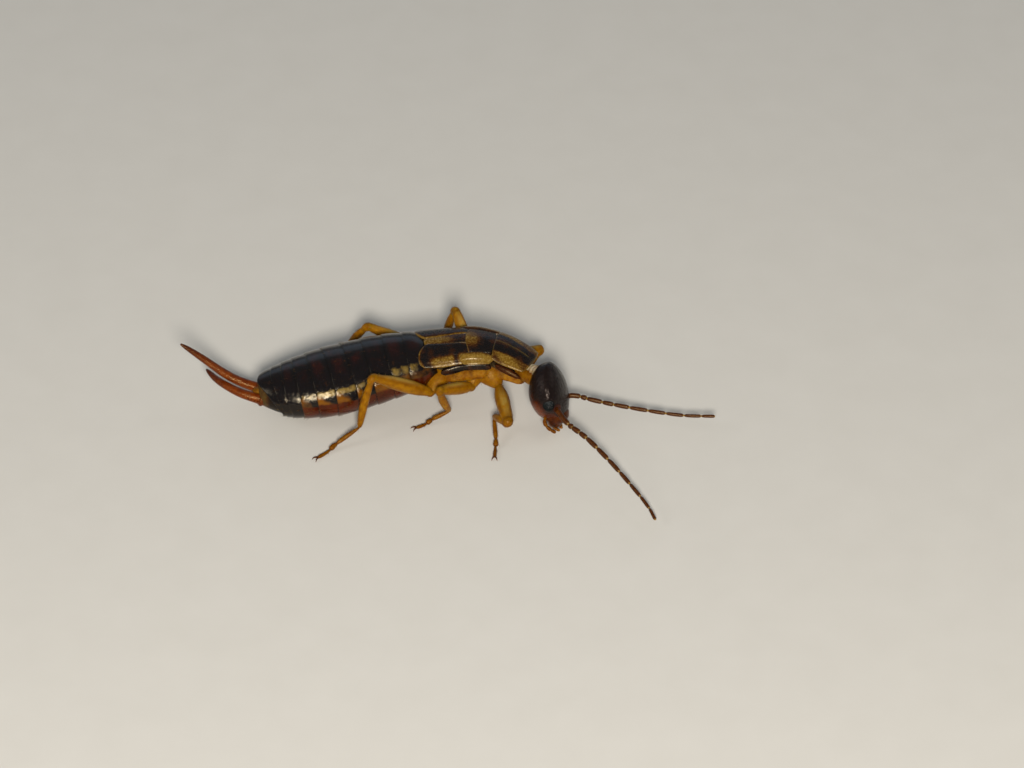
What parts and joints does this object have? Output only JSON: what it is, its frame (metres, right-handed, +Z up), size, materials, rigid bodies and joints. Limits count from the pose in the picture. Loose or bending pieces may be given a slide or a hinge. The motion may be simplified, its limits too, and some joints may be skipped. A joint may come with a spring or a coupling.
{
  "type": "earwig",
  "caption": "Life-size still model of a young earwig with wing pads, standing with its head bent down and its forceps raised, for display.",
  "frame": {"origin": "middle of the bottom of the box round the model, on the floor that the feet stand on", "axes": "+X towards the head, along the model's longest extent; +Y towards the animal's left side; +Z up"},
  "size_m": [0.019, 0.01, 0.0028],
  "materials": {
    "abdomen_shell": "glossy black-brown shell with red-brown blotches and a gold and black row of side plates",
    "back_plates": "glossy dark brown plates with pale gold borders",
    "underside": "satin amber skin with dark plates on the flank",
    "neck_skin": "matt whitish folded skin",
    "head_shell": "glossy black-brown, red-brown towards the cheeks and mouth",
    "eyes": "black with fine facets",
    "mouthparts": "satin red-brown",
    "antennae": "satin dark brown with pale joints",
    "forceps": "glossy orange-brown, darker at the tips",
    "legs": "satin translucent amber"
  },
  "bodies": {
    "root": {"abdomen": "abdomen_shell", "antenna_left": "antennae", "antenna_right": "antennae", "eye_left": "eyes", "eye_right": "eyes", "forceps_left": "forceps", "forceps_right": "forceps", "foreleg_left_femur": "legs", "foreleg_left_tarsus": "legs", "foreleg_left_tibia": "legs", "foreleg_right_femur": "legs", "foreleg_right_tarsus": "legs", "foreleg_right_tibia": "legs", "forewing_pad_left": "back_plates", "forewing_pad_right": "back_plates", "head": "head_shell", "hindleg_left_femur": "legs", "hindleg_left_tarsus": "legs", "hindleg_left_tibia": "legs", "hindleg_right_femur": "legs", "hindleg_right_tarsus": "legs", "hindleg_right_tibia": "legs", "hindwing_pad_left": "back_plates", "hindwing_pad_right": "back_plates", "mesonotum": "back_plates", "metanotum": "back_plates", "midleg_left_femur": "legs", "midleg_left_tarsus": "legs", "midleg_left_tibia": "legs", "midleg_right_femur": "legs", "midleg_right_tarsus": "legs", "midleg_right_tibia": "legs", "mouth": "mouthparts", "neck": "neck_skin", "palp_left": "mouthparts", "palp_right": "mouthparts", "pronotum": "back_plates", "thorax": "underside"}
  },
  "joints": []
}
